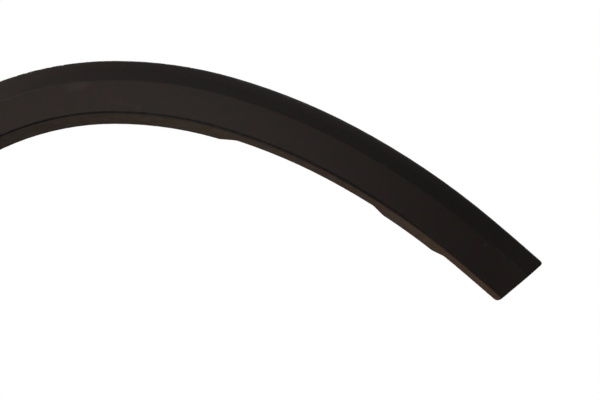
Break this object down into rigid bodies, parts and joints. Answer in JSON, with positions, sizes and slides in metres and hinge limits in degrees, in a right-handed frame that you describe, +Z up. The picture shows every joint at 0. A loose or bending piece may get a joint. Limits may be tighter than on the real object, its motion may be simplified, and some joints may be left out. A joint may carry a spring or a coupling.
{
  "type": "wheel arch trim",
  "caption": "Moulded wheel arch trim with a bevelled strip, flat face, shadow groove and stepped return flange; locating pegs and push-in clips on its back fix it to the body panel.",
  "frame": {"origin": "axis of the apex peg, on the body panel's outside", "axes": "+X to the right along the car, +Z up, +Y into the car; the visible face looks along -Y"},
  "size_m": [0.8138, 0.0338, 0.2663],
  "materials": {
    "grained_black": "fine moulded grain, unpainted",
    "clip_nylon": "natural nylon, satin"
  },
  "bodies": {
    "root": {"arch_trim": "grained_black", "panel_clips": "clip_nylon"}
  },
  "joints": []
}
